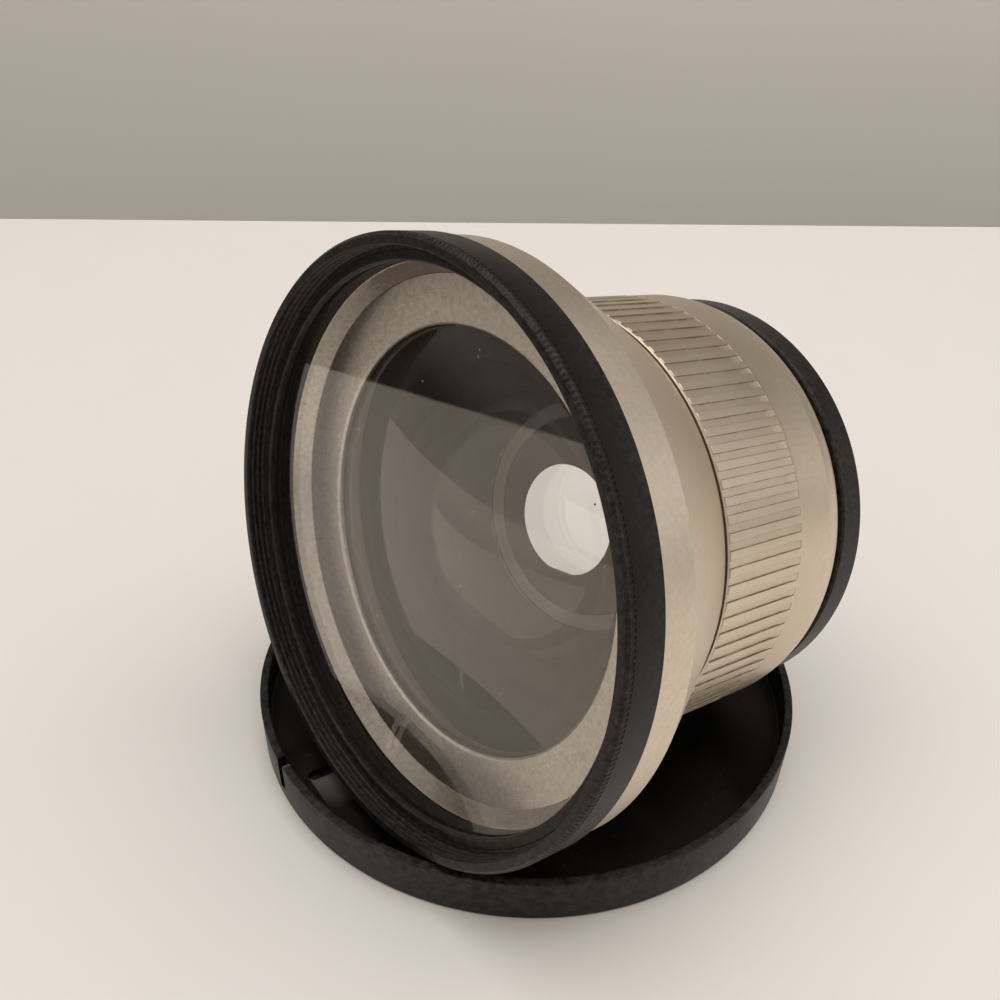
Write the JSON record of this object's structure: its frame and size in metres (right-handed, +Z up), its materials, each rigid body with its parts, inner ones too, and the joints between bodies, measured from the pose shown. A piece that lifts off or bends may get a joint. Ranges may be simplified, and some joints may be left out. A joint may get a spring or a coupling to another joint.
{
  "type": "wide-angle converter lens",
  "caption": "Wide-angle converter lens with a flared front bell, a ribbed rear barrel, a screw-in front filter and a rear adapter ring, lying in its slip-on cap.",
  "frame": {"origin": "centre of the cap's underside, on the table", "axes": "+Z up, +Y level towards the lens's rear, so the lens looks along -Y and is tipped up by about 11 degrees; +X to the right seen from the lens's front towards its rear"},
  "size_m": [0.0812, 0.0784, 0.0769],
  "materials": {
    "cap_plastic": "worn semi-gloss black",
    "black_anodised": "satin black anodised",
    "champagne_anodised": "satin champagne anodised",
    "dark_anodised": "matt dark anodised",
    "baffle_paint": "matt dark grey-brown",
    "black_nylon": "matt black nylon",
    "filter_glass": "clear flat glass",
    "optical_glass": "polished optical glass"
  },
  "bodies": {
    "cap": {"cap_body": "cap_plastic"},
    "rear_section": {"rear_barrel": "champagne_anodised", "rear_baffle": "baffle_paint", "rear_cell": "dark_anodised", "cell_lock_ring": "dark_anodised", "rear_retainer": "champagne_anodised", "stop_cone": "baffle_paint", "rear_element_front": "optical_glass", "rear_spacer": "dark_anodised", "rear_element_back": "optical_glass"},
    "front_section": {"front_bell": "champagne_anodised", "front_retainer": "champagne_anodised", "front_element": "optical_glass", "element_gasket": "black_nylon", "join_ring": "dark_anodised", "front_baffle": "baffle_paint"},
    "uv_filter": {"uv_filter_ring": "black_anodised", "uv_filter_retainer": "black_anodised", "uv_filter_glass": "filter_glass"},
    "adapter": {"adapter_ring": "black_anodised"}
  },
  "joints": [
    {"name": "lens_lift", "type": "slide", "parent": "cap", "child": "rear_section", "axis": [0, 0, 1], "range_m": [0, 0.06]},
    {"name": "front_section_unscrew", "type": "hinge", "parent": "rear_section", "child": "front_section", "pos_m": [0.0045, -0.00117, 0.03526], "axis": [0, -0.98, 0.199], "range_deg": [0, 1296]},
    {"name": "filter_unscrew", "type": "hinge", "parent": "front_section", "child": "uv_filter", "pos_m": [0.0045, -0.02077, 0.03924], "axis": [0, -0.98, 0.199], "range_deg": [0, 1008]},
    {"name": "adapter_unscrew", "type": "hinge", "parent": "rear_section", "child": "adapter", "pos_m": [0.0045, 0.02137, 0.03068], "axis": [0, 0.98, -0.199], "range_deg": [0, 1200]}
  ]
}
